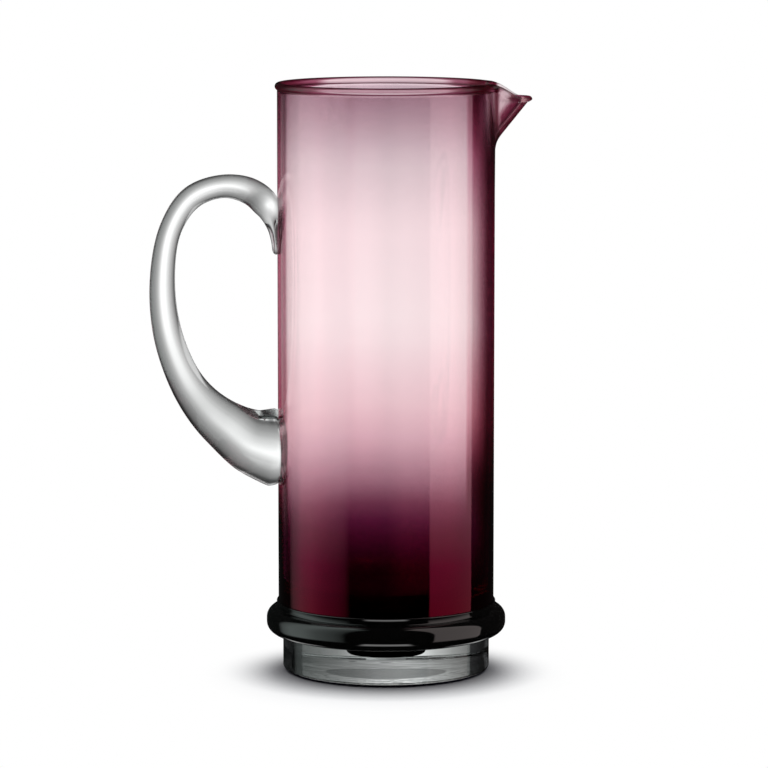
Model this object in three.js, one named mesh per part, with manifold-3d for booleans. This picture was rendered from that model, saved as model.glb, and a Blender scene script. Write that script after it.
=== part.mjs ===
// Tall glass jug: amethyst body on a clear foot, with a black collar ring and a clear handle.
// Millimetres, +Z up, origin at the centre of the foot's underside, spout to +X, handle to -X.
import * as THREE from "three";
import { mergeVertices } from "three/addons/utils/BufferGeometryUtils.js";
import Module from "manifold-3d";

// Gap between pieces that are fused on the real jug
const seamGap = 0.3;

// Body: a straight cylinder with a thick floor
const bodyRadius = 47.2;
const bodyTop = 257.2;
const wall = 2.4;
const floorThickness = 14;
const floorCornerRadius = 9;
const bodyEdgeRound = 0.8;

// Foot: a thick clear disc, a little narrower than the body
const footInset = 2;
const footHeight = 20;
const footEdgeRound = 1.8;

// Rim: a fire-polished bead that swells outwards only
const rimBeadRadius = 1.65;
const rimSwell = 1;

// Spout: two flat flanks pinched to a round nose, with a lip that dips below the rim
const spoutReach = 16;
const spoutDepth = 26;
const spoutLipDip = 6.1;
const spoutLipFlat = 5.5;
const spoutLipHalfWidth = 14.3;
const spoutFlankSlope = 1.75;
const spoutNoseRound = 3.5;
const spoutCreaseRound = 3;
const spoutBeadShare = 0.8;

// Collar ring: a rounded band round the seam of body and foot, with a thin lip up the wall
const ringSwell = 5.2;
const ringHeight = 11;
const ringBelowSeam = 3.5;
const ringCornerRadius = 4.6;
const ringShoulderTurn = THREE.MathUtils.degToRad(72);
const ringLipHeight = 3;
const ringLipThickness = 0.5;

// Handle: where its two ends sit on the wall, how far its bow stands out, and its rod
const handleLowHeight = 98.6;
const handleTopDrop = 53;
const handleReach = 50.1;
const rodRadius = 5.5;

// Stations along the bow, from the lower flare to the tip of the tail:
// out in shares of the reach, rise in shares of the span between the two ends,
// thick and wide in rod radii
const bow = [
  { out: -0.08, rise: -0.01, thick: 2.7, wide: 2.7 },
  { out: 0, rise: 0, thick: 2.98, wide: 3 },
  { out: 0.26, rise: 0.031, thick: 2.42, wide: 2.42 },
  { out: 0.55, rise: 0.119, thick: 1.83, wide: 1.83 },
  { out: 0.784, rise: 0.253, thick: 1.38, wide: 1.38 },
  { out: 0.955, rise: 0.461, thick: 1.15, wide: 1.15 },
  { out: 1, rise: 0.688, thick: 1, wide: 1 },
  { out: 0.925, rise: 0.9, thick: 0.89, wide: 0.9 },
  { out: 0.74, rise: 1.029, thick: 0.93, wide: 0.93 },
  { out: 0.47, rise: 1.075, thick: 0.92, wide: 0.95 },
  { out: 0.23, rise: 1.053, thick: 1.06, wide: 1.13 },
  { out: 0.09, rise: 0.993, thick: 1.05, wide: 1.55 },
  { out: 0.032, rise: 0.91, thick: 0.55, wide: 1.27 },
  { out: 0.014, rise: 0.849, thick: 0.37, wide: 0.84 },
  { out: 0.008, rise: 0.805, thick: 0.28, wide: 0.5 },
  { out: 0.004, rise: 0.795, thick: 0.14, wide: 0.26 },
];

// Facets
const bodySides = 64;
const roundSides = 48;
const handleSides = 20;
const handleSteps = 30;
const arcSteps = 4;
const spoutSteps = 8;
const spoutCrowding = 0.72;

const footRadius = bodyRadius - footInset;
const spoutRoot = bodyTop - spoutDepth;
const spoutStart = spoutRoot - spoutCreaseRound;
const quarterTurn = Math.PI / 2;
const smoothstep = THREE.MathUtils.smoothstep;

const bodyGlass = new THREE.MeshStandardMaterial({ color: 0x8a4258, roughness: 0.05, metalness: 0 });
const ringGlass = new THREE.MeshStandardMaterial({ color: 0x0b0a0c, roughness: 0.08, metalness: 0 });
const footGlass = new THREE.MeshStandardMaterial({ color: 0xd9dcdd, roughness: 0.05, metalness: 0 });
const handleGlass = new THREE.MeshStandardMaterial({ color: 0xd2d6d6, roughness: 0.05, metalness: 0 });

const wasm = await Module();
wasm.setup();

function bare(geometry) {
  geometry.deleteAttribute("normal");
  geometry.deleteAttribute("uv");
  return mergeVertices(geometry);
}

function solidOf(geometry) {
  const merged = bare(geometry);
  const vertProperties = new Float32Array(merged.attributes.position.array);
  const triVerts = new Uint32Array(merged.index.array);
  return new wasm.Manifold(new wasm.Mesh({ numProp: 3, vertProperties, triVerts }));
}

function geometryOf(solid) {
  const mesh = solid.getMesh();
  const geometry = new THREE.BufferGeometry();
  geometry.setAttribute("position", new THREE.BufferAttribute(mesh.vertProperties, 3));
  geometry.setIndex(new THREE.BufferAttribute(mesh.triVerts, 1));
  geometry.computeVertexNormals();
  return geometry;
}

// A section of radius and height, turned about the Z axis
function turned(section, sides) {
  return bare(new THREE.LatheGeometry(section, sides).rotateX(quarterTurn));
}

function footGeometry() {
  const path = new THREE.Path();
  path.moveTo(0, 0);
  path.lineTo(footRadius - footEdgeRound, 0);
  path.absarc(footRadius - footEdgeRound, footEdgeRound, footEdgeRound, -quarterTurn, 0);
  path.lineTo(footRadius, footHeight);
  path.lineTo(0, footHeight);
  return turned(path.getPoints(arcSteps), roundSides);
}

// The ring's ledge meets the underside of the body, and its bores clear the body and the foot
function ringGeometry() {
  const bottom = footHeight - ringBelowSeam;
  const top = bottom + ringHeight;
  const cornerRadius = Math.min(ringCornerRadius, ringHeight / 2);
  const corner = bodyRadius + ringSwell - cornerRadius;
  const bodyBore = bodyRadius + seamGap;
  const footBore = footRadius + seamGap;
  const lip = bodyBore + ringLipThickness;
  const path = new THREE.Path();
  path.moveTo(footBore, bottom);
  path.lineTo(corner, bottom);
  path.absarc(corner, bottom + cornerRadius, cornerRadius, -quarterTurn, 0);
  path.absarc(corner, top - cornerRadius, cornerRadius, 0, ringShoulderTurn);
  path.quadraticCurveTo(lip, top, lip, top + ringLipHeight);
  path.lineTo(bodyBore, top + ringLipHeight);
  path.lineTo(bodyBore, footHeight);
  path.lineTo(footBore, footHeight);
  path.lineTo(footBore, bottom);
  return turned(path.getPoints(arcSteps), roundSides);
}

// Wall stretches in the spout's reach are split, so that the flanks can bend there
function splitLine(path, x, from, to) {
  for (let step = 1; step <= spoutSteps; step += 1) {
    path.lineTo(x, THREE.MathUtils.lerp(from, to, step / spoutSteps));
  }
}

function bodySection() {
  const bottom = footHeight;
  const innerRadius = bodyRadius - wall;
  const innerFloor = bottom + floorThickness;
  const beadRadius = bodyRadius + rimSwell - rimBeadRadius;
  const beadHeight = bodyTop - rimBeadRadius;
  const outerAngle = -Math.acos((bodyRadius - beadRadius) / rimBeadRadius);
  const innerAngle = Math.PI + Math.acos(Math.min(1, (beadRadius - innerRadius) / rimBeadRadius));
  const outerNeck = beadHeight + rimBeadRadius * Math.sin(outerAngle);
  const innerNeck = beadHeight + rimBeadRadius * Math.sin(innerAngle);
  const path = new THREE.Path();
  path.moveTo(0, bottom);
  path.lineTo(bodyRadius - bodyEdgeRound, bottom);
  path.absarc(bodyRadius - bodyEdgeRound, bottom + bodyEdgeRound, bodyEdgeRound, -quarterTurn, 0);
  path.lineTo(bodyRadius, spoutStart);
  splitLine(path, bodyRadius, spoutStart, outerNeck);
  path.absarc(beadRadius, beadHeight, rimBeadRadius, outerAngle, innerAngle);
  splitLine(path, innerRadius, innerNeck, spoutStart);
  path.lineTo(innerRadius, innerFloor + floorCornerRadius);
  const corner = innerRadius - floorCornerRadius;
  path.absarc(corner, innerFloor + floorCornerRadius, floorCornerRadius, 0, -quarterTurn, true);
  path.lineTo(0, innerFloor);
  return path.getPoints(arcSteps);
}

// The larger of two values, with a round joint of the given width
function roundMax(a, b, width) {
  const overlap = Math.max(width - Math.abs(a - b), 0) / width;
  return Math.max(a, b) + (overlap * overlap * width) / 4;
}

// Pull one point of the wall out into the spout, and lower it where the lip dips
function pullSpout(point) {
  if (point.x <= 0) {
    return;
  }
  const side = Math.abs(point.y);
  const depth = bodyRadius - Math.hypot(point.x, point.y);
  const rise = (point.z - spoutRoot) / spoutDepth;
  const mitre = depth > 0 ? Math.hypot(1, spoutFlankSlope) : spoutBeadShare;
  const nose = bodyRadius + spoutReach * rise - depth * mitre;
  const noseRound = Math.max(spoutNoseRound - depth, rimSwell);
  const flank = nose - spoutFlankSlope * (Math.hypot(side, noseRound) - noseRound);
  const dipShare = 1 - smoothstep(side, spoutLipFlat, spoutLipHalfWidth);
  point.x = roundMax(point.x, flank, spoutCreaseRound);
  point.z -= spoutLipDip * dipShare * Math.max(rise, 0);
}

// Turn one point about the axis so that the facets crowd towards the spout
function crowdToSpout(point) {
  const radius = Math.hypot(point.x, point.y);
  const angle = Math.atan2(point.y, point.x);
  const turnedAngle = angle - spoutCrowding * Math.sin(angle);
  point.x = radius * Math.cos(turnedAngle);
  point.y = radius * Math.sin(turnedAngle);
}

function bodyGeometry() {
  const geometry = turned(bodySection(), bodySides);
  const positions = geometry.attributes.position;
  const point = new THREE.Vector3();
  for (let index = 0; index < positions.count; index += 1) {
    point.fromBufferAttribute(positions, index);
    crowdToSpout(point);
    pullSpout(point);
    positions.setXYZ(index, point.x, point.y, point.z);
  }
  return geometry;
}

// Oval rings along the handle's bow, from the lower flare to the tip of the tail
function handleRings() {
  const span = bodyTop - handleTopDrop - handleLowHeight;
  const line = new THREE.CatmullRomCurve3(
    bow.map(({ out, rise }) => {
      return new THREE.Vector3(-bodyRadius - out * handleReach, 0, handleLowHeight + rise * span);
    }),
  );
  const sizes = new THREE.CatmullRomCurve3(
    bow.map(({ thick, wide }) => new THREE.Vector3(thick, wide, 0).multiplyScalar(rodRadius)),
  );
  const across = new THREE.Vector3(0, 1, 0);
  const rings = [];
  for (let step = 0; step <= handleSteps; step += 1) {
    const centre = line.getPoint(step / handleSteps);
    const size = sizes.getPoint(step / handleSteps);
    const inPlane = new THREE.Vector3().crossVectors(across, line.getTangent(step / handleSteps));
    const ring = [];
    for (let side = 0; side < handleSides; side += 1) {
      const angle = (side / handleSides) * 2 * Math.PI;
      const point = centre.clone().addScaledVector(inPlane, size.x * Math.cos(angle));
      ring.push(point.addScaledVector(across, size.y * Math.sin(angle)));
    }
    rings.push(ring);
  }
  return rings;
}

// One closed skin over a row of rings, with a flat fan at each end
function skin(rings) {
  const sides = rings[0].length;
  const last = rings.length - 1;
  const points = rings.flat();
  const triangles = [];
  for (let row = 0; row < last; row += 1) {
    for (let side = 0; side < sides; side += 1) {
      const next = (side + 1) % sides;
      const a = row * sides + side;
      const b = row * sides + next;
      triangles.push(a, b, b + sides, a, b + sides, a + sides);
    }
  }
  for (let side = 1; side < sides - 1; side += 1) {
    triangles.push(0, side + 1, side);
    triangles.push(last * sides, last * sides + side, last * sides + side + 1);
  }
  const geometry = new THREE.BufferGeometry().setFromPoints(points);
  geometry.setIndex(triangles);
  return geometry;
}

// The handle's ends are cut to the curve of the wall
function handleGeometry() {
  const wallCutter = new THREE.CylinderGeometry(
    bodyRadius + seamGap,
    bodyRadius + seamGap,
    bodyTop,
    roundSides,
  );
  wallCutter.rotateX(quarterTurn);
  wallCutter.translate(0, 0, bodyTop / 2);
  return geometryOf(solidOf(skin(handleRings())).subtract(solidOf(wallCutter)));
}

function piece(name, geometry, material) {
  const mesh = new THREE.Mesh(geometry, material);
  mesh.name = name;
  return mesh;
}

const jug = new THREE.Group();
jug.add(piece("foot", footGeometry(), footGlass));
jug.add(piece("collar_ring", ringGeometry(), ringGlass));
jug.add(piece("body", bodyGeometry(), bodyGlass));
jug.add(piece("handle", handleGeometry(), handleGlass));

export default jug;
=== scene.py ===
import math

import bmesh
import bpy
from mathutils import Matrix, Vector


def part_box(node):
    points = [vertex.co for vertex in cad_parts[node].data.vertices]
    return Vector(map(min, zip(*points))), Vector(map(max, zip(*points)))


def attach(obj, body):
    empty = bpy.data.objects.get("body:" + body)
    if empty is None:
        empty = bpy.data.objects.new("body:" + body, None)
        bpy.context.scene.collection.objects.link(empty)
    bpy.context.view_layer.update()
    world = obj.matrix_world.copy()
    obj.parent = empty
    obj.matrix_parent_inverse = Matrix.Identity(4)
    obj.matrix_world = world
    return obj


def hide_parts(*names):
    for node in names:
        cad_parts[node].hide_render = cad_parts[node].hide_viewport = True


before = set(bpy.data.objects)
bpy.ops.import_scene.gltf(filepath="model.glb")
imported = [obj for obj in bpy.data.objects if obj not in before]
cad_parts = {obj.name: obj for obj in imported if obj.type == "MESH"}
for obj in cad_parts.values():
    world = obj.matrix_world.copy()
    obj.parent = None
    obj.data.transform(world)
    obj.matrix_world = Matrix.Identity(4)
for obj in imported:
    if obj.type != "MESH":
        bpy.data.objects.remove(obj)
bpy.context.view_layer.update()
scene = bpy.context.scene
print("frame loaded:", ", ".join(sorted(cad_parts)))


# camera, set to the rim and foot ellipses

cameraSettings = {
    "place": (-0.0009, -1.7472, 0.3565),
    "pitchDown": 7.5265,
    "lens": 189.3,
    "sensor": 36.0,
    "clip": (0.05, 50),
}


def makeCamera(settings):
    data = bpy.data.cameras.new("camera")
    data.lens = settings["lens"]
    data.sensor_width = settings["sensor"]
    data.clip_start, data.clip_end = settings["clip"]
    camera = bpy.data.objects.new("camera", data)
    camera.location = settings["place"]
    camera.rotation_euler = (math.radians(90 - settings["pitchDown"]), 0, 0)
    scene.collection.objects.link(camera)
    scene.camera = camera


makeCamera(cameraSettings)
print("camera placed")


# small helpers for meshes and node trees

mergeGap = 1e-6
sharpAngle = 50
white = (1, 1, 1, 1)
noiseDetail = 3.0


# points of radius and height on an arc or a line; the count is how many parts it has
def arc(centre, radius, fromAngle, toAngle, count):
    points = []
    for step in range(count + 1):
        angle = math.radians(fromAngle + (toAngle - fromAngle) * step / count)
        points.append((centre[0] + radius * math.cos(angle), centre[1] + radius * math.sin(angle)))
    return points


def line(start, end, count):
    points = []
    for step in range(1, count + 1):
        share = step / count
        points.append((start[0] + (end[0] - start[0]) * share, start[1] + (end[1] - start[1]) * share))
    return points


def smoothShare(value, low, high):
    share = min(max((value - low) / (high - low), 0), 1)
    return share * share * (3 - 2 * share)


# turn a section of radius and height about the upright axis
def turnSection(section, steps, closed=False):
    bm = bmesh.new()
    verts = [bm.verts.new((radius, 0, height)) for radius, height in section]
    edges = [bm.edges.new(pair) for pair in zip(verts, verts[1:])]
    if closed:
        edges.append(bm.edges.new((verts[-1], verts[0])))
    bmesh.ops.spin(
        bm, geom=verts + edges, cent=(0, 0, 0), axis=(0, 0, 1), angle=math.tau, steps=steps, use_merge=True
    )
    bmesh.ops.remove_doubles(bm, verts=bm.verts, dist=mergeGap)
    bmesh.ops.recalc_face_normals(bm, faces=bm.faces)
    return bm


def markSharp(bm, degrees):
    limit = math.radians(degrees)
    for edge in bm.edges:
        edge.smooth = len(edge.link_faces) == 2 and edge.calc_face_angle(0) < limit
    for face in bm.faces:
        face.smooth = True


def finishPiece(bm, name, node, materials):
    mesh = bpy.data.meshes.new(name)
    bm.to_mesh(mesh)
    bm.free()
    piece = bpy.data.objects.new(name, mesh)
    scene.collection.objects.link(piece)
    for material in materials:
        mesh.materials.append(material)
    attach(piece, "root")
    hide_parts(node)
    print(name, "has", len(mesh.polygons), "faces")
    return piece


def newTree(owner):
    owner.use_nodes = True
    owner.node_tree.nodes.clear()
    return owner.node_tree


def addNode(tree, kind, settings=None, **inputs):
    node = tree.nodes.new(kind)
    for name, value in (settings or {}).items():
        setattr(node, name, value)
    for name, value in inputs.items():
        socket = node.inputs[int(name[1:])] if name[0] == "_" else node.inputs[name]
        if isinstance(value, bpy.types.NodeSocket):
            tree.links.new(value, socket)
        else:
            socket.default_value = value
    return node


def mathNode(tree, operation, first, second=0.0, third=0.0):
    node = addNode(tree, "ShaderNodeMath", {"operation": operation}, _0=first, _1=second, _2=third)
    return node.outputs[0]


# 0 below the first limit, 1 above the second, a soft step between them
def smoothStep(tree, value, fromLimit, toLimit):
    node = addNode(
        tree,
        "ShaderNodeMapRange",
        {"interpolation_type": "SMOOTHSTEP"},
        Value=value,
        **{"From Min": fromLimit, "From Max": toLimit},
    )
    return node.outputs[0]


def scaleColour(tree, colour, share):
    return addNode(tree, "ShaderNodeVectorMath", {"operation": "SCALE"}, _0=colour, Scale=share).outputs[0]


def timesColour(tree, first, second):
    return addNode(tree, "ShaderNodeVectorMath", {"operation": "MULTIPLY"}, _0=first, _1=second).outputs[0]


def rampNode(tree, factor, stops):
    node = addNode(tree, "ShaderNodeValToRGB", _0=factor)
    ramp = node.color_ramp
    while len(ramp.elements) < len(stops):
        ramp.elements.new(1.0)
    for element, (position, colour) in zip(ramp.elements, stops):
        element.position = position
        element.color = (*colour, 1)
    return node.outputs["Color"]


# a noise that runs between two values
def noiseRange(tree, coords, scale, low, high):
    noise = addNode(tree, "ShaderNodeTexNoise", Vector=coords, Scale=scale, Detail=noiseDetail)
    node = addNode(tree, "ShaderNodeMapRange", Value=noise.outputs[0], **{"To Min": low, "To Max": high})
    return node.outputs[0]


def mixColour(tree, factor, first, second):
    node = tree.nodes.new("ShaderNodeMix")
    node.data_type = "RGBA"
    for socket, value in ((node.inputs[0], factor), (node.inputs[6], first), (node.inputs[7], second)):
        if isinstance(value, bpy.types.NodeSocket):
            tree.links.new(value, socket)
        else:
            socket.default_value = value
    return node.outputs[2]


# a colour times a tint, as far as the share goes
def tintColour(tree, colour, share, tint):
    return timesColour(tree, colour, mixColour(tree, share, white, tint))


# finishes

amethystSettings = {
    # height in millimetres, colour that one wall lets through; darker towards the bottom and the rim,
    # partly the glass's own colour and partly painted shade
    "ombreAndShade": (
        (20, (0.06, 0.006, 0.020)),
        (36, (0.03, 0.008, 0.015)),
        (48, (0.13, 0.012, 0.06)),
        (58, (0.18, 0.020, 0.09)),
        (66, (0.28, 0.09, 0.16)),
        (75, (0.48, 0.28, 0.35)),
        (92, (0.78, 0.60, 0.66)),
        (110, (0.93, 0.81, 0.84)),
        (150, (1.0, 0.99, 0.99)),
        (195, (0.99, 0.96, 0.97)),
        (224, (0.87, 0.83, 0.855)),
        (256, (0.56, 0.42, 0.49)),
    ),
    # colour of what the surface mirrors, by height
    "gloss": (
        (20, (9.3, 0.0, 0.60)),
        (52, (9.9, 0.54, 2.16)),
        (72, (9.0, 3.24, 4.1)),
        (105, (6.8, 5.8, 5.9)),
        (195, (6.5, 5.6, 5.8)),
        (256, (8.0, 6.2, 6.6)),
    ),
    # grazing sight runs longer through the wall, so the colour counts more often there; the strong
    # darkening along the edges is partly painted shade
    "edgeShadeTint": (0.31, 0.07, 0.14, 1),
    "edgePower": 4.8,
    "edgeFacing": (0.66, 0.78),
    # painted shade: the body is darker on its spout side, and gets redder towards the rim; places are from
    # and to
    "spoutShadeOut": (0.0361, 0.0373),
    "spoutShadeAbove": (0.060, 0.090),
    "spoutShadePower": 1.9,
    "spoutShadeTint": (0.90, 0.84, 0.86, 1),
    "topAbove": (0.190, 0.250),
    "topTint": (1.18, 0.67, 0.85, 1),
    "sideOut": (0.0385, 0.0460),
    "sidePower": 1.2,
    "sideTint": (0.32, 0.05, 0.16, 1),
    # the painted shade stops just behind the spout
    "spoutShadeGapOut": (0.0411, 0.0426),
    "spoutShadeGapAbove": (0.222, 0.246),
    # the spout is pale; its nose is dark, partly from thick glass and partly painted shade, and painted
    # shade darkens the crease where it leaves the wall
    "spoutTint": (0.97, 0.90, 0.93, 1),
    "noseTintAndShade": (0.25, 0.035, 0.095, 1),
    "noseOut": (0.0475, 0.0495),
    "noseHalfWidth": (0.0052, 0.0042),
    "creaseStart": (0.0460, 0.0468),
    "creaseEnd": (0.0476, 0.0488),
    "creaseAbove": (0.232, 0.240),
    "creaseShadeTint": (0.40, 0.12, 0.20, 1),
    # the bead at the rim is pale in the middle, and painted shade darkens it along its edges
    "rimTint": (0.86, 0.72, 0.78, 1),
    "rimAbove": (0.2528, 0.2538),
    "rimEdge": 0.50,
    # rim and spout were reheated and worked, so they are softer to look through
    "workedRoughness": 0.28,
    "workedOut": (0.0415, 0.0455),
    "workedAbove": (0.220, 0.232),
    "roughness": (0.006, 0.014),
    "grainScale": 90.0,
    "absorb": (0.94, 0.25, 0.36, 1),
    "absorbDensity": 72.0,
    "ior": 1.25,
}


def heightRamp(tree, height, stops, low, high):
    limits = {"From Min": low / 1000, "From Max": high / 1000}
    share = addNode(tree, "ShaderNodeMapRange", Value=height, **limits)
    placed = [((stop - low) / (high - low), colour) for stop, colour in stops]
    return rampNode(tree, share.outputs[0], placed)


# share of the wall that lies far enough out towards the spout and high enough up
def outAndUp(tree, out, outLimits, height, heightLimits):
    outShare = smoothStep(tree, out, *outLimits)
    return mathNode(tree, "MULTIPLY", outShare, smoothStep(tree, height, *heightLimits))


def makeAmethyst(settings):
    material = bpy.data.materials.new("amethyst_glass")
    tree = newTree(material)
    place = addNode(tree, "ShaderNodeTexCoord").outputs["Object"]
    out, across, height = addNode(tree, "ShaderNodeSeparateXYZ", _0=place).outputs
    stops = settings["ombreAndShade"]
    low, high = stops[0][0], stops[-1][0]
    # partly painted shade: the body's colour darkens by height towards the bottom and the rim
    ombreAndShade = heightRamp(tree, height, stops, low, high)
    gloss = heightRamp(tree, height, settings["gloss"], low, high)
    # partly painted shade: the glass darkens where it is seen at a graze, along its edges
    facing = addNode(tree, "ShaderNodeLayerWeight", Blend=0.5).outputs["Facing"]
    rim = smoothStep(tree, height, *settings["rimAbove"])
    # the rim bead counts as more grazing, so painted shade darkens its edges
    grazing = mathNode(tree, "MULTIPLY_ADD", rim, settings["rimEdge"], facing)
    grazing = smoothStep(tree, grazing, *settings["edgeFacing"])
    # painted shade: a darker band on the body's spout side, which stops just behind the spout
    thin = outAndUp(tree, out, settings["spoutShadeGapOut"], height, settings["spoutShadeGapAbove"])
    kept = mathNode(tree, "SUBTRACT", 1.0, thin)
    spout = smoothStep(tree, out, *settings["noseOut"])
    side = mathNode(tree, "SUBTRACT", smoothStep(tree, out, *settings["sideOut"]), spout)
    side = mathNode(tree, "MULTIPLY", side, kept)
    upper = smoothStep(tree, height, *settings["spoutShadeAbove"])
    upperSide = mathNode(tree, "MULTIPLY", side, upper)
    # painted shade over the spout side of the body, deeper higher up
    thick = outAndUp(tree, out, settings["spoutShadeOut"], height, settings["spoutShadeAbove"])
    thick = mathNode(tree, "MULTIPLY", thick, kept)
    top = mathNode(tree, "MULTIPLY", thick, smoothStep(tree, height, *settings["topAbove"]))
    power = mathNode(tree, "MULTIPLY_ADD", grazing, settings["edgePower"], 1.0)
    power = mathNode(tree, "MULTIPLY_ADD", upperSide, settings["sidePower"], power)
    power = mathNode(tree, "MULTIPLY_ADD", thick, settings["spoutShadePower"], power)
    ombreAndShade = mixColour(tree, rim, ombreAndShade, settings["rimTint"])
    ombreAndShade = addNode(tree, "ShaderNodeGamma", Color=ombreAndShade, Gamma=power).outputs[0]
    ombreAndShade = tintColour(tree, ombreAndShade, grazing, settings["edgeShadeTint"])
    ombreAndShade = tintColour(tree, ombreAndShade, side, settings["sideTint"])
    ombreAndShade = tintColour(tree, ombreAndShade, thick, settings["spoutShadeTint"])
    ombreAndShade = tintColour(tree, ombreAndShade, top, settings["topTint"])
    ombreAndShade = mixColour(tree, spout, ombreAndShade, settings["spoutTint"])
    aside = mathNode(tree, "ABSOLUTE", across)
    # partly painted shade on the spout's nose, which is partly thick glass
    nose = mathNode(tree, "MULTIPLY", spout, smoothStep(tree, aside, *settings["noseHalfWidth"]))
    ombreAndShade = tintColour(tree, ombreAndShade, nose, settings["noseTintAndShade"])
    # painted shade along the crease where the spout leaves the wall
    crease = smoothStep(tree, out, *settings["creaseStart"])
    crease = mathNode(tree, "SUBTRACT", crease, smoothStep(tree, out, *settings["creaseEnd"]))
    crease = mathNode(tree, "MULTIPLY", crease, smoothStep(tree, height, *settings["creaseAbove"]))
    ombreAndShade = tintColour(tree, ombreAndShade, crease, settings["creaseShadeTint"])
    worked = outAndUp(tree, out, settings["workedOut"], height, settings["workedAbove"])
    worked = mathNode(tree, "MAXIMUM", worked, rim)
    fine = noiseRange(tree, place, settings["grainScale"], *settings["roughness"])
    roughness = mathNode(tree, "MULTIPLY_ADD", worked, settings["workedRoughness"], fine)
    glass = addNode(
        tree,
        "ShaderNodeBsdfPrincipled",
        **{
            "Base Color": ombreAndShade,
            "Specular Tint": gloss,
            "Roughness": roughness,
            "IOR": settings["ior"],
            "Transmission Weight": 1.0,
        },
    )
    finishGlass(tree, glass, settings)
    return material


# glass that also swallows light on the way through it
def finishGlass(tree, glass, settings):
    absorb = {"Color": settings["absorb"], "Density": settings["absorbDensity"]}
    inside = addNode(tree, "ShaderNodeVolumeAbsorption", **absorb)
    addNode(tree, "ShaderNodeOutputMaterial", Surface=glass.outputs[0], Volume=inside.outputs[0])


clearFinish = {
    "absorb": (0.55, 0.62, 0.60, 1),
    "ior": 1.5,
    # the underside turns coarse from the first height down to the second
    "underHeights": (0.0020, 0.0012),
}
handleFinish = {
    **clearFinish,
    "colour": (0.985, 0.99, 0.988, 1),
    "absorbDensity": 6.0,
    "roughness": (0.004, 0.016),
    "waveScale": 55.0,
    "waveDepth": 0.00003,
    "underDepth": 0.0,
}
# the pressed fold on the flare is greyer and rougher
foldFinish = {
    **handleFinish,
    "colour": (0.55, 0.58, 0.575, 1),
    "roughness": (0.20, 0.30),
}
footFinish = {
    **clearFinish,
    "absorbDensity": 3.0,
    "roughness": (0.004, 0.02),
    "waveScale": 60.0,
    "waveDepth": 0.00002,
    "underDepth": 0.0008,
    # painted shade: the disc goes dark in steps towards its outline, near black there, for the dark
    # surroundings seen at its edges
    "edgeShadeSteps": (
        (0.0, (0.99, 1.0, 1.0)),
        (0.05, (0.84, 0.86, 0.855)),
        (0.14, (0.58, 0.60, 0.595)),
        (0.235, (0.55, 0.57, 0.56)),
        (0.250, (0.49, 0.51, 0.50)),
        (0.420, (0.49, 0.51, 0.50)),
        (0.440, (0.02, 0.02, 0.022)),
        (1.0, (0.02, 0.02, 0.022)),
    ),
}


# clear glass: long waves from drawing, and a coarse underside where it was broken off and fire-polished
def makeClear(name, settings):
    material = bpy.data.materials.new(name)
    tree = newTree(material)
    place = addNode(tree, "ShaderNodeTexCoord").outputs["Object"]
    height = addNode(tree, "ShaderNodeSeparateXYZ", _0=place).outputs["Z"]
    waves = noiseRange(tree, place, settings["waveScale"], 0.0, 1.0)
    roughness = noiseRange(tree, place, settings["waveScale"], *settings["roughness"])
    under = smoothStep(tree, height, *settings["underHeights"])
    depth = mathNode(tree, "MULTIPLY_ADD", under, settings["underDepth"], settings["waveDepth"])
    bump = addNode(tree, "ShaderNodeBump", Distance=1.0, Height=mathNode(tree, "MULTIPLY", waves, depth))
    # painted shade by facing, darkening the glass towards its outline
    if "edgeShadeSteps" in settings:
        facing = addNode(tree, "ShaderNodeLayerWeight", Blend=0.5).outputs["Facing"]
        colour = rampNode(tree, facing, settings["edgeShadeSteps"])
    else:
        colour = settings["colour"]
    glass = addNode(
        tree,
        "ShaderNodeBsdfPrincipled",
        **{
            "Base Color": colour,
            "Roughness": roughness,
            "IOR": settings["ior"],
            "Transmission Weight": 1.0,
            "Normal": bump.outputs[0],
        },
    )
    finishGlass(tree, glass, settings)
    return material


blackFinish = {
    "colour": (0.002, 0.002, 0.002, 1),
    "ior": 1.85,
    "roughness": (0.02, 0.05),
    "grainScale": 120.0,
    "waveScale": 40.0,
    "waveDepth": 0.00002,
}


def makeBlack(settings):
    material = bpy.data.materials.new("black_glass")
    tree = newTree(material)
    place = addNode(tree, "ShaderNodeTexCoord").outputs["Object"]
    waves = noiseRange(tree, place, settings["waveScale"], 0.0, settings["waveDepth"])
    bump = addNode(tree, "ShaderNodeBump", Distance=1.0, Height=waves)
    glass = addNode(
        tree,
        "ShaderNodeBsdfPrincipled",
        **{
            "Base Color": settings["colour"],
            "Roughness": noiseRange(tree, place, settings["grainScale"], *settings["roughness"]),
            "IOR": settings["ior"],
            "Normal": bump.outputs[0],
        },
    )
    addNode(tree, "ShaderNodeOutputMaterial", Surface=glass.outputs[0])
    return material


seamAndShadowFinish = {
    "darkest": (0.002, 0.001, 0.002, 1),
    "lightest": (0.007, 0.004, 0.006, 1),
    "grainScale": 260.0,
    "roughness": 0.9,
}


# dark core where the body's glass sinks into the foot, seen only from inside the foot; partly the body's
# dark glass and partly a painted shadow of the shaded floor seen through the foot
def makeSeamAndShadow(settings):
    material = bpy.data.materials.new("seam_and_painted_shadow")
    tree = newTree(material)
    place = addNode(tree, "ShaderNodeTexCoord").outputs["Object"]
    grain = noiseRange(tree, place, settings["grainScale"], 0.0, 1.0)
    seam = addNode(
        tree,
        "ShaderNodeBsdfPrincipled",
        **{
            "Base Color": mixColour(tree, grain, settings["darkest"], settings["lightest"]),
            "Roughness": settings["roughness"],
            "Specular IOR Level": 0.0,
        },
    )
    addNode(tree, "ShaderNodeOutputMaterial", Surface=seam.outputs[0])
    return material


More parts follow.
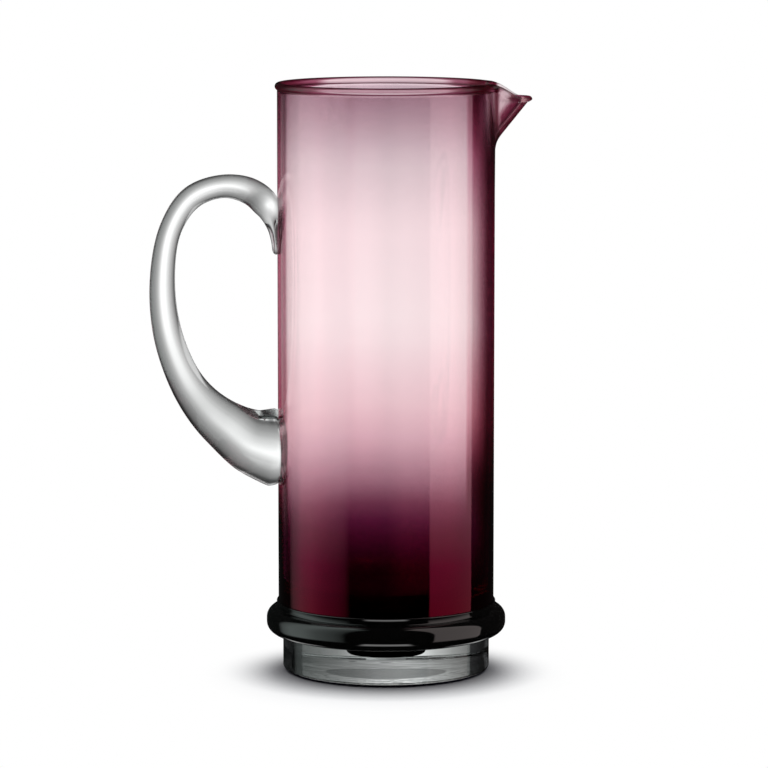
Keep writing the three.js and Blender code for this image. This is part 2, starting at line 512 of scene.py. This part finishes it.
groundFinish = {
    "darkest": (0.13, 0.135, 0.14, 1),
    "lightest": (0.27, 0.28, 0.285, 1),
    "grainScale": 180.0,
    "roughness": (0.10, 0.22),
}
flatTopFinish = {
    "darkest": (0.66, 0.68, 0.68, 1),
    "lightest": (0.84, 0.86, 0.86, 1),
    "grainScale": 90.0,
    "roughness": (0.12, 0.20),
}


# faces seen only from inside the foot, where they mirror: dim on the ground patch, clear on the flat top
def makeInnerFace(name, settings):
    material = bpy.data.materials.new(name)
    tree = newTree(material)
    place = addNode(tree, "ShaderNodeTexCoord").outputs["Object"]
    grain = noiseRange(tree, place, settings["grainScale"], 0.0, 1.0)
    mirror = addNode(
        tree,
        "ShaderNodeBsdfPrincipled",
        **{
            "Base Color": mixColour(tree, grain, settings["darkest"], settings["lightest"]),
            "Roughness": noiseRange(tree, place, settings["grainScale"], *settings["roughness"]),
            "Metallic": 1.0,
        },
    )
    addNode(tree, "ShaderNodeOutputMaterial", Surface=mirror.outputs[0])
    return material


amethystGlass = makeAmethyst(amethystSettings)
handleGlass = makeClear("handle_glass", handleFinish)
foldGlass = makeClear("fold_glass", foldFinish)
footGlass = makeClear("foot_glass", footFinish)
blackGlass = makeBlack(blackFinish)
seamAndShadow = makeSeamAndShadow(seamAndShadowFinish)
groundGlass = makeInnerFace("ground_glass", groundFinish)
flatTopGlass = makeInnerFace("flat_top_glass", flatTopFinish)
print("finishes made")


# body: straight cylinder, thick floor, bead at the rim, pulled spout

bodySettings = {
    "wall": 0.0020,
    "floorThickness": 0.014,
    "floorCorner": 0.009,
    "edgeRound": 0.0008,
    "rimBead": 0.00165,
    "rimSwell": 0.001,
    "spoutReach": 0.016,
    "spoutDepth": 0.026,
    "lipDip": 0.0061,
    "lipFlat": 0.0055,
    "lipHalfWidth": 0.0143,
    "flankSlope": 1.75,
    "noseRound": 0.0055,
    "creaseRound": 0.003,
    "beadShare": 1.1,
    "columns": 288,
    "crowding": 0.6,
    "spoutRows": 28,
    "seamLift": 0.00006,
}

bodyLow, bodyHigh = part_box("body")
bodyRadius = (bodyHigh.y - bodyLow.y) / 2 - bodySettings["rimSwell"]
bodyTop = bodyHigh.z
bodyBottom = bodyLow.z


def bodySection(settings):
    bottom = bodyBottom + settings["seamLift"]
    inner = bodyRadius - settings["wall"]
    floor = bodyBottom + settings["floorThickness"]
    bead = settings["rimBead"]
    beadCentre = (bodyRadius + settings["rimSwell"] - bead, bodyTop - bead)
    outerTurn = math.degrees(math.acos((bodyRadius - beadCentre[0]) / bead))
    spoutStart = bodyTop - settings["spoutDepth"] - settings["creaseRound"]
    edge, corner = settings["edgeRound"], settings["floorCorner"]
    beadArc = arc(beadCentre, bead, -outerTurn, 180, 20)
    rows = settings["spoutRows"]
    section = [(0, bottom)]
    section += line((0, bottom), (bodyRadius - edge, bottom), 6)
    section += arc((bodyRadius - edge, bottom + edge), edge, -90, 0, 5)[1:]
    section += line(section[-1], (bodyRadius, spoutStart), 12)
    section += line((bodyRadius, spoutStart), beadArc[0], rows)
    section += beadArc[1:]
    section += line((inner, beadArc[-1][1]), (inner, spoutStart), rows)
    section += line((inner, spoutStart), (inner, floor + corner), 12)
    section += arc((inner - corner, floor + corner), corner, 0, -90, 10)[1:]
    section += line(section[-1], (0, floor), 6)
    return section


# the larger of two values, with a round joint between them
def roundMax(first, second, width):
    overlap = max(width - abs(first - second), 0) / width
    return max(first, second) + overlap * overlap * width / 4


def pullSpout(point, settings):
    if point.x <= 0:
        return
    root = bodyTop - settings["spoutDepth"]
    side = abs(point.y)
    depth = bodyRadius - math.hypot(point.x, point.y)
    rise = (min(point.z, bodyTop - settings["rimBead"]) - root) / settings["spoutDepth"]
    mitre = math.hypot(1, settings["flankSlope"]) if depth > 0 else settings["beadShare"]
    nose = bodyRadius + settings["spoutReach"] * rise - depth * mitre
    noseRound = max(settings["noseRound"] - depth, settings["rimSwell"])
    flank = nose - settings["flankSlope"] * (math.hypot(side, noseRound) - noseRound)
    dip = 1 - smoothShare(side, settings["lipFlat"], settings["lipHalfWidth"])
    point.x = roundMax(point.x, flank, settings["creaseRound"])
    point.z -= settings["lipDip"] * dip * max(rise, 0)


def makeBody(settings):
    bm = turnSection(bodySection(settings), settings["columns"])
    for vert in bm.verts:
        radius, angle = math.hypot(vert.co.x, vert.co.y), math.atan2(vert.co.y, vert.co.x)
        angle -= settings["crowding"] * math.sin(angle)
        vert.co.x, vert.co.y = radius * math.cos(angle), radius * math.sin(angle)
        pullSpout(vert.co, settings)
    markSharp(bm, sharpAngle)
    body = finishPiece(bm, "body_glass", "body", [amethystGlass])
    body.visible_diffuse = False  # pale glass lets the light through to the floor


makeBody(bodySettings)


# foot: thick clear disc

footSettings = {
    "edgeRound": 0.0009,
    "columns": 192,
    # underneath it stands on a ground patch in the middle, and slopes up a little to its edge
    "groundRadius": 0.0175,
    "outerRise": 0.0009,
    # the body's dark glass sinks into the foot at the middle; the near-black core is partly a painted
    # shadow
    "coreTopRadius": 0.0168,
    "coreRadius": 0.0115,
    "coreRound": 0.002,
    "coreDepth": 0.0116,
    "faceMargin": 1e-5,
}
footLow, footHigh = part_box("foot")
footRadius = footHigh.x


def makeFoot(settings):
    edge = settings["edgeRound"]
    edgeLow = footLow.z + settings["outerRise"]
    section = [(0, footLow.z)]
    section += line(section[-1], (settings["groundRadius"], footLow.z), 5)
    section += line(section[-1], (footRadius - edge, edgeLow), 8)
    section += arc((footRadius - edge, edgeLow + edge), edge, -90, 0, 8)[1:]
    section += line(section[-1], (footRadius, footHigh.z), 16)
    section += line(section[-1], (settings["coreTopRadius"], footHigh.z), 6)
    coreLow = footHigh.z - settings["coreDepth"]
    coreRound = settings["coreRound"]
    section += line(section[-1], (settings["coreRadius"], coreLow + coreRound), 6)
    section += arc((settings["coreRadius"] - coreRound, coreLow + coreRound), coreRound, 0, -90, 6)[1:]
    section += line(section[-1], (0, coreLow), 4)
    bm = turnSection(section, settings["columns"])
    materials = [footGlass, seamAndShadow, groundGlass, flatTopGlass]
    margin = settings["faceMargin"]
    for face in bm.faces:
        middle = face.calc_center_median()
        fromAxis = math.hypot(middle.x, middle.y)
        # the dark core: partly the body's dark glass, partly a painted shadow
        if fromAxis < settings["coreTopRadius"] and middle.z > coreLow - margin:
            face.material_index = materials.index(seamAndShadow)
        elif fromAxis < settings["groundRadius"] and middle.z < coreLow / 2:
            face.material_index = materials.index(groundGlass)
        elif middle.z > footHigh.z - margin:
            face.material_index = materials.index(flatTopGlass)
    markSharp(bm, sharpAngle)
    finishPiece(bm, "foot_glass", "foot", materials)


makeFoot(footSettings)


# collar ring: rounded band with a thin lip up the wall

ringSettings = {
    "height": 0.011,
    "cornerRadius": 0.0046,
    "shoulderTurn": 72.0,
    "lipThickness": 0.0008,
    "lipRound": 0.0003,
    "lipLean": -15,
    "grooveDrop": 0.0024,
    "grooveGap": 0.0001,
    "sweepSteps": 8,
    "bodyGap": 0.00002,
    "bite": 0.0001,
    "columns": 256,
}
ringLow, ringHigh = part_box("collar_ring")


def makeRing(settings):
    bottom = ringLow.z
    top = bottom + settings["height"]
    cornerRound = settings["cornerRadius"]
    corner = ringHigh.x - cornerRound
    footBore = footRadius - settings["bite"]
    bodyBore = bodyRadius + settings["bodyGap"]
    lip = bodyRadius + settings["lipThickness"]
    section = [(footBore, bottom)]
    section += line((footBore, bottom), (corner, bottom), 4)
    section += arc((corner, bottom + cornerRound), cornerRound, -90, 0, 12)[1:]
    section += arc((corner, top - cornerRound), cornerRound, 0, settings["shoulderTurn"], 10)
    shoulder = section[-1]
    # hollow sweep from the shoulder into a groove, below a lip that leans out
    groove = (bodyBore + settings["grooveGap"], ringHigh.z - settings["grooveDrop"])
    steps = settings["sweepSteps"]
    for step in range(1, steps + 1):
        share = step / steps
        radius = (1 - share) ** 2 * shoulder[0] + (1 - (1 - share) ** 2) * groove[0]
        height = (1 - share * share) * shoulder[1] + share * share * groove[1]
        section.append((radius, height))
    lipRound = settings["lipRound"]
    section += arc((lip - lipRound, ringHigh.z - lipRound), lipRound, settings["lipLean"], 90, 6)
    section += [(bodyBore, ringHigh.z), (bodyBore, bodyBottom), (footBore, bodyBottom)]
    bm = turnSection(section, settings["columns"], closed=True)
    markSharp(bm, sharpAngle)
    finishPiece(bm, "collar_ring_glass", "collar_ring", [blackGlass])


makeRing(ringSettings)


# handle: drawn rod with a round flare below and a tapered tail above

handleSettings = {
    "lowHeight": 0.0986,
    "topDrop": 0.053,
    "reach": 0.0501,
    "rodRadius": 0.0055,
    # out in reaches, rise in spans, thick and wide in rod radii
    "bow": (
        (-0.08, -0.01, 2.7, 2.3),
        (0, 0, 2.98, 2.35),
        (0.26, 0.031, 2.42, 2.25),
        (0.55, 0.119, 1.83, 1.95),
        (0.784, 0.253, 1.38, 1.5),
        (0.955, 0.461, 1.15, 1.15),
        (1, 0.688, 1, 1),
        (0.925, 0.9, 0.89, 0.9),
        (0.74, 1.029, 0.93, 0.93),
        (0.47, 1.075, 0.92, 0.95),
        (0.23, 1.053, 1.06, 1.13),
        (0.09, 0.993, 1.05, 1.55),
        (0.032, 0.91, 0.55, 1.27),
        (0.014, 0.849, 0.37, 0.84),
        (0.008, 0.805, 0.28, 0.5),
        (0.004, 0.795, 0.14, 0.26),
    ),
    # thin fold on top of the flare, where the hot rod was pressed to the wall
    "foldStart": 0.50,
    "foldFull": 0.20,
    "foldDull": 0.08,
    "foldThickness": 0.0046,
    "foldNeck": 0.74,
    "foldTurn": 28.0,
    "foldMargin": 0.5,
    "lowerSag": 1.11,
    # the flare's end is rounded where it meets the wall
    "endRound": 0.0011,
    "endSteepest": 0.97,
    "endParts": 5,
    "endReach": 0.04,
    "steps": 10,
    "sides": 64,
    "cutterSides": 360,
    "bite": 0.0002,
    "mergeGap": 2e-6,
    "sharpAngle": 45,
}


# place up and across on a round section with a fold on top, at a turn in degrees from the top
def foldedPoint(turn, wide, settings):
    neck = settings["foldNeck"]
    foldTurn = settings["foldTurn"]
    half = settings["foldThickness"] / 2 / wide
    size = abs(turn)
    if size < foldTurn:
        share = size / foldTurn
        up = 1 + (neck - 1) * share
        across = half * share
    else:
        start = math.asin(half)
        roundTurn = start + (math.pi - start) * (size - foldTurn) / (180 - foldTurn)
        sag = settings["lowerSag"]
        up = (neck - sag) / 2 + (neck + sag) / 2 * math.cos(roundTurn)
        across = math.sin(roundTurn)
    return up, math.copysign(across, turn)


# values on a smooth run through the stations, with knots spaced by the root of the distance
def smoothRun(stations, steps):
    first = stations[0] * 2 - stations[1]
    last = stations[-1] * 2 - stations[-2]
    padded = [first, *stations, last]
    run = []
    for index in range(1, len(padded) - 2):
        a, b, c, d = padded[index - 1 : index + 3]
        knots = [math.sqrt((q.xy - p.xy).length) for p, q in ((a, b), (b, c), (c, d))]
        before = ((b - a) / knots[0] - (c - a) / (knots[0] + knots[1])) * knots[1] + (c - b)
        after = ((d - c) / knots[2] - (d - b) / (knots[1] + knots[2])) * knots[1] + (c - b)
        for step in range(steps):
            t = step / steps
            run.append(
                b * (2 * t**3 - 3 * t**2 + 1)
                + before * (t**3 - 2 * t**2 + t)
                + c * (3 * t**2 - 2 * t**3)
                + after * (t**3 - t**2)
            )
    run.append(stations[-1])
    return run


# stations along the rod, closer together where the flare meets the wall
def handleRun(settings):
    low, reach, rod = settings["lowHeight"], settings["reach"], settings["rodRadius"]
    span = bodyTop - settings["topDrop"] - low
    stations = [
        Vector((-bodyRadius - out * reach, low + rise * span, thick * rod, wide * rod))
        for out, rise, thick, wide in settings["bow"]
    ]
    coarse = smoothRun(stations, settings["steps"])
    run = []
    for index, (station, following) in enumerate(zip(coarse, coarse[1:])):
        nearWall = -station.x - bodyRadius < settings["endReach"] * reach
        parts = settings["endParts"] if nearWall and index < len(coarse) / 2 else 1
        run += [station.lerp(following, part / parts) for part in range(parts)]
    run.append(coarse[-1])
    return run


# place of the section at a station, square to the rod
def sectionPlace(run, index):
    station = run[index]
    ahead = run[min(index + 1, len(run) - 1)].xy - run[max(index - 1, 0)].xy
    along = Vector((ahead.x, 0, ahead.y)).normalized()
    across = Vector((0, 1, 0))
    place = Matrix.Identity(4)
    place.col[0] = (*(across.cross(along) * station.z), 0)
    place.col[1] = (*(across * station.w), 0)
    place.col[2] = (*along, 0)
    place.col[3] = (station.x, 0, station.y, 1)
    return place


# fold and round one section of the flare, and tell which of its points lie on the fold
def shapeFlare(verts, place, station, share, settings):
    onFold = set()
    endRound = settings["endRound"]
    deepest = endRound * settings["endSteepest"]
    for vert in verts:
        local = place.inverted() @ vert.co
        turn = math.degrees(math.atan2(local.y, local.x))
        if share > settings["foldDull"] and abs(turn) < settings["foldTurn"] + settings["foldMargin"]:
            onFold.add(vert)
        local = local.lerp(Vector((*foldedPoint(turn, station.w, settings), 0)), share)
        vert.co = place @ local
        sunk = min(max(endRound - (vert.co.xy.length - bodyRadius), 0), deepest)
        inset = endRound - math.sqrt(endRound**2 - sunk**2)
        vert.co = place @ (local * (1 - inset / min(station.z, station.w)))
    return onFold


# both ends of the rod follow the curve of the wall
def cutToWall(mesh, radius, sides):
    bm = bmesh.new()
    bmesh.ops.create_cone(
        bm,
        cap_ends=True,
        segments=sides,
        radius1=radius,
        radius2=radius,
        depth=bodyTop,
        matrix=Matrix.Translation((0, 0, bodyTop / 2)),
    )
    cutterMesh = bpy.data.meshes.new("wall_cutter")
    bm.to_mesh(cutterMesh)
    bm.free()
    rod = bpy.data.objects.new("handle_rod", mesh)
    cutter = bpy.data.objects.new("wall_cutter", cutterMesh)
    for item in (rod, cutter):
        scene.collection.objects.link(item)
    cut = rod.modifiers.new("cut", "BOOLEAN")
    cut.operation = "DIFFERENCE"
    cut.solver = "EXACT"
    cut.object = cutter
    bpy.context.view_layer.update()
    graph = bpy.context.evaluated_depsgraph_get()
    done = bpy.data.meshes.new_from_object(rod.evaluated_get(graph))
    for item in (rod, cutter):
        bpy.data.objects.remove(item)
    return done


def makeHandle(settings):
    run = handleRun(settings)
    materials = [handleGlass, foldGlass]
    bm = bmesh.new()
    loops = []
    onFold = set()
    for index, station in enumerate(run):
        place = sectionPlace(run, index)
        made = bmesh.ops.create_circle(
            bm, cap_ends=False, radius=1, segments=settings["sides"], matrix=place
        )
        out = (-station.x - bodyRadius) / settings["reach"]
        share = smoothShare(-out, -settings["foldStart"], -settings["foldFull"])
        if share > 0 and index < len(run) / 2:
            onFold |= shapeFlare(made["verts"], place, station, share, settings)
        loops.append(list(dict.fromkeys(edge for vert in made["verts"] for edge in vert.link_edges)))
    for low, high in zip(loops, loops[1:]):
        bmesh.ops.bridge_loops(bm, edges=low + high)
    for loop in (loops[0], loops[-1]):
        bmesh.ops.edgeloop_fill(bm, edges=loop)
    for face in bm.faces:
        if all(vert in onFold for vert in face.verts):
            face.material_index = materials.index(foldGlass)
    bmesh.ops.recalc_face_normals(bm, faces=bm.faces)
    mesh = bpy.data.meshes.new("handle_rod")
    for material in materials:
        mesh.materials.append(material)
    bm.to_mesh(mesh)
    bm.free()
    bm = bmesh.new()
    bm.from_mesh(cutToWall(mesh, bodyRadius - settings["bite"], settings["cutterSides"]))
    bmesh.ops.remove_doubles(bm, verts=bm.verts, dist=settings["mergeGap"])
    bmesh.ops.recalc_face_normals(bm, faces=bm.faces)
    markSharp(bm, settings["sharpAngle"])
    handle = finishPiece(bm, "handle_rod_glass", "handle", materials)
    handle.visible_diffuse = False


makeHandle(handleSettings)


# floor: pale disc that keeps the shadow and fades into the white background

floorSettings = {
    "radius": 0.12,
    "sides": 128,
    "drop": 0.0002,
    # the floor turns plain white round a point a little in front of the jug
    "plainCentre": (0, -0.018, 0),
    "plainReach": (0.046, 0.084),
    "colour": (0.97, 0.975, 0.985, 1),
    # contact shade round the foot
    "contactSamples": 8,
    "contactReach": 0.029,
    "contactPower": 1.15,
    "contactColour": (0.006, 0.003, 0.030, 1),
}


def makeFloor(settings):
    bm = bmesh.new()
    bmesh.ops.create_circle(
        bm,
        cap_ends=True,
        segments=settings["sides"],
        radius=settings["radius"],
        matrix=Matrix.Translation((0, 0, -settings["drop"])),
    )
    mesh = bpy.data.meshes.new("floor")
    bm.to_mesh(mesh)
    bm.free()
    floor = bpy.data.objects.new("floor", mesh)
    scene.collection.objects.link(floor)
    material = bpy.data.materials.new("floor_white")
    tree = newTree(material)
    coords = addNode(tree, "ShaderNodeTexCoord")
    reach = addNode(
        tree,
        "ShaderNodeVectorMath",
        {"operation": "DISTANCE"},
        _0=coords.outputs["Object"],
        _1=settings["plainCentre"],
    )
    plain = smoothStep(tree, reach.outputs["Value"], *settings["plainReach"])
    samples = {"samples": settings["contactSamples"]}
    contact = addNode(tree, "ShaderNodeAmbientOcclusion", samples, Distance=settings["contactReach"])
    contact = mathNode(tree, "POWER", contact.outputs["AO"], settings["contactPower"])
    shade = mixColour(tree, contact, settings["contactColour"], settings["colour"])
    matt = addNode(tree, "ShaderNodeBsdfDiffuse", Color=shade)
    glow = addNode(tree, "ShaderNodeEmission", Color=white, Strength=1.0)
    mix = addNode(tree, "ShaderNodeMixShader", _0=plain, _1=matt.outputs[0], _2=glow.outputs[0])
    addNode(tree, "ShaderNodeOutputMaterial", Surface=mix.outputs[0])
    mesh.materials.append(material)
    floor.visible_glossy = False
    floor.visible_transmission = False


makeFloor(floorSettings)


# studio: white for the camera, plain light for matt surfaces, softboxes and dark gaps for the glass

studioSettings = {
    # light on matt surfaces: an even part and a part from above
    "evenLight": 0.25,
    "topLight": 1.5,
    "topPower": 2.0,
    # level of light behind the glass, by degrees away from the line of sight
    "sightSlope": -6.5,
    "leftPower": 1.5,
    "leftOfSight": (
        (0, 1.20),
        (4, 1.20),
        (8, 1.19),
        (12, 1.13),
        (15, 1.02),
        (19, 0.82),
        (28, 0.56),
        (39, 0.37),
        (47, 0.23),
        (58, 0.09),
        (66, 0.03),
    ),
    "rightOfSight": (
        (0, 1.20),
        (2, 1.10),
        (4, 0.95),
        (6, 0.80),
        (9, 0.62),
        (12, 0.50),
        (19, 0.33),
        (28, 0.23),
        (39, 0.14),
        (47, 0.05),
        (58, 0.01),
    ),
    # bearing in degrees from the backdrop, right is positive; level of light further round
    "aroundAngles": (58.0, 70.0),
    "seenAround": (
        (-180, 0.30),
        (-140, 0.30),
        (-120, 0.60),
        (-105, 1.00),
        (-75, 1.00),
        (-66, 0.10),
        (0, 0.10),
        (85, 0.10),
        (105, 0.90),
        (160, 1.00),
        (180, 0.30),
    ),
    "seenBelow": (
        (-180, 0.10),
        (-85, 0.15),
        (-68, 0.70),
        (-30, 0.70),
        (-20, 0.0),
        (0, 0.0),
        (90, 0.05),
        (108, 0.90),
        (165, 0.90),
        (180, 0.10),
    ),
    "belowSlopes": (-15.0, -24.0),
    "belowEnd": (-42.0, -34.0),
    "seenAbove": (
        (-180, 0.0),
        (-70, 0.0),
        (-62, 0.55),
        (-30, 0.55),
        (-22, 0.0),
        (180, 0.0),
    ),
    "aboveSlopes": (17.0, 21.0),
    "aboveEnd": (42.0, 34.0),
    "ceiling": (0.08, 0.08, 0.08, 1),
    "ceilingSlopes": (24.0, 60.0),
    # softboxes on both sides and a strip of pale floor, as the gloss shows them
    "mirrored": (
        (-180, 0.0),
        (-141, 0.0),
        (-135, 0.16),
        (-128, 0.26),
        (-110, 0.42),
        (-92, 0.66),
        (-75, 0.62),
        (-62, 0.34),
        (-54, 0.01),
        (0, 0.01),
        (76, 0.01),
        (77, 0.66),
        (132, 0.62),
        (133, 0.0),
        (180, 0.0),
    ),
    "boxBlend": (-0.2, 0.2),
    "boxColours": ((0.97, 1.12, 1.08, 1), (0.92, 0.81, 0.79, 1)),
    "boxTop": (80.0, 72.0),
    "boxFoot": (-30.0, -18.0),
    "floorStrip": 1.4,
    "stripStart": (-28.0, -34.0),
    "stripEnd": (-56.0, -48.0),
    "stripHalfWidth": (0.40, 0.28),
}


# levels of light at angles in degrees, read at an angle in radians
def angleRamp(tree, angle, levels):
    first, last = levels[0][0], levels[-1][0]
    limits = {"From Min": math.radians(first), "From Max": math.radians(last)}
    share = addNode(tree, "ShaderNodeMapRange", Value=angle, **limits)
    top = max(level for _, level in levels)
    stops = [((degrees - first) / (last - first), (level / top,) * 3) for degrees, level in levels]
    ramp = rampNode(tree, share.outputs[0], stops)
    return scaleColour(tree, ramp, top)


# how far a height in the sky is from one slope to another
def slopeShare(tree, height, slopes):
    return smoothStep(tree, height, *(math.sin(math.radians(slope)) for slope in slopes))


# a band of sky with a soft start and a soft end
def slopeBand(tree, height, start, end):
    return mathNode(tree, "MULTIPLY", slopeShare(tree, height, start), slopeShare(tree, height, end))


# what is seen through the glass
def seenLight(tree, direction, right, height, bearing, settings):
    # angle away from the line of sight, and how far that is to the left
    slope = math.radians(settings["sightSlope"])
    along = addNode(
        tree,
        "ShaderNodeVectorMath",
        {"operation": "DOT_PRODUCT"},
        _0=direction,
        _1=(0, math.cos(slope), math.sin(slope)),
    ).outputs["Value"]
    away = mathNode(tree, "ARCCOSINE", along)
    turned = mathNode(tree, "DIVIDE", right, mathNode(tree, "SINE", away))
    toLeft = mathNode(tree, "MULTIPLY_ADD", turned, -0.5, 0.5)
    seen = mixColour(
        tree,
        mathNode(tree, "POWER", toLeft, settings["leftPower"]),
        angleRamp(tree, away, settings["rightOfSight"]),
        angleRamp(tree, away, settings["leftOfSight"]),
    )
    around = smoothStep(tree, away, *(math.radians(angle) for angle in settings["aroundAngles"]))
    seen = mixColour(tree, around, seen, angleRamp(tree, bearing, settings["seenAround"]))
    for levels, start, end in (
        ("seenBelow", "belowSlopes", "belowEnd"),
        ("seenAbove", "aboveSlopes", "aboveEnd"),
    ):
        band = slopeBand(tree, height, settings[start], settings[end])
        band = scaleColour(tree, angleRamp(tree, bearing, settings[levels]), band)
        seen = addNode(tree, "ShaderNodeVectorMath", {"operation": "MAXIMUM"}, _0=seen, _1=band).outputs[0]
    return mixColour(tree, slopeShare(tree, height, settings["ceilingSlopes"]), seen, settings["ceiling"])


# what the gloss mirrors
def mirroredLight(tree, right, height, bearing, settings):
    besides = slopeBand(tree, height, settings["boxTop"], settings["boxFoot"])
    boxes = scaleColour(tree, angleRamp(tree, bearing, settings["mirrored"]), besides)
    boxColour = mixColour(tree, smoothStep(tree, right, *settings["boxBlend"]), *settings["boxColours"])
    boxes = timesColour(tree, boxes, boxColour)
    across = smoothStep(tree, mathNode(tree, "ABSOLUTE", right), *settings["stripHalfWidth"])
    strip = slopeBand(tree, height, settings["stripStart"], settings["stripEnd"])
    strip = mathNode(tree, "MULTIPLY", strip, across)
    strip = mathNode(tree, "MULTIPLY", strip, settings["floorStrip"])
    return addNode(tree, "ShaderNodeVectorMath", {"operation": "ADD"}, _0=boxes, _1=strip).outputs[0]


def makeStudio(settings):
    world = bpy.data.worlds.new("studio")
    scene.world = world
    world.cycles.sampling_method = "NONE"  # each ray then reads the part of the studio meant for it
    tree = newTree(world)
    direction = addNode(tree, "ShaderNodeTexCoord").outputs["Generated"]
    right, back, height = addNode(tree, "ShaderNodeSeparateXYZ", _0=direction).outputs
    bearing = mathNode(tree, "ARCTAN2", right, back)
    seen = seenLight(tree, direction, right, height, bearing, settings)
    mirrored = mirroredLight(tree, right, height, bearing, settings)
    fromTop = mathNode(tree, "POWER", mathNode(tree, "MAXIMUM", height, 0.0), settings["topPower"])
    matt = mathNode(tree, "MULTIPLY_ADD", fromTop, settings["topLight"], settings["evenLight"])
    path = addNode(tree, "ShaderNodeLightPath")
    light = mixColour(tree, path.outputs["Is Glossy Ray"], matt, mirrored)
    light = mixColour(tree, path.outputs["Is Transmission Ray"], light, seen)
    light = mixColour(tree, path.outputs["Is Camera Ray"], light, white)
    background = addNode(tree, "ShaderNodeBackground", Color=light, Strength=1.0)
    addNode(tree, "ShaderNodeOutputWorld", Surface=background.outputs[0])


makeStudio(studioSettings)
scene.view_settings.view_transform = "Standard"
scene.cycles.max_bounces = 24
scene.cycles.transmission_bounces = 24
scene.cycles.glossy_bounces = 12
scene.cycles.caustics_refractive = False
scene.cycles.caustics_reflective = False
print("floor and studio made")
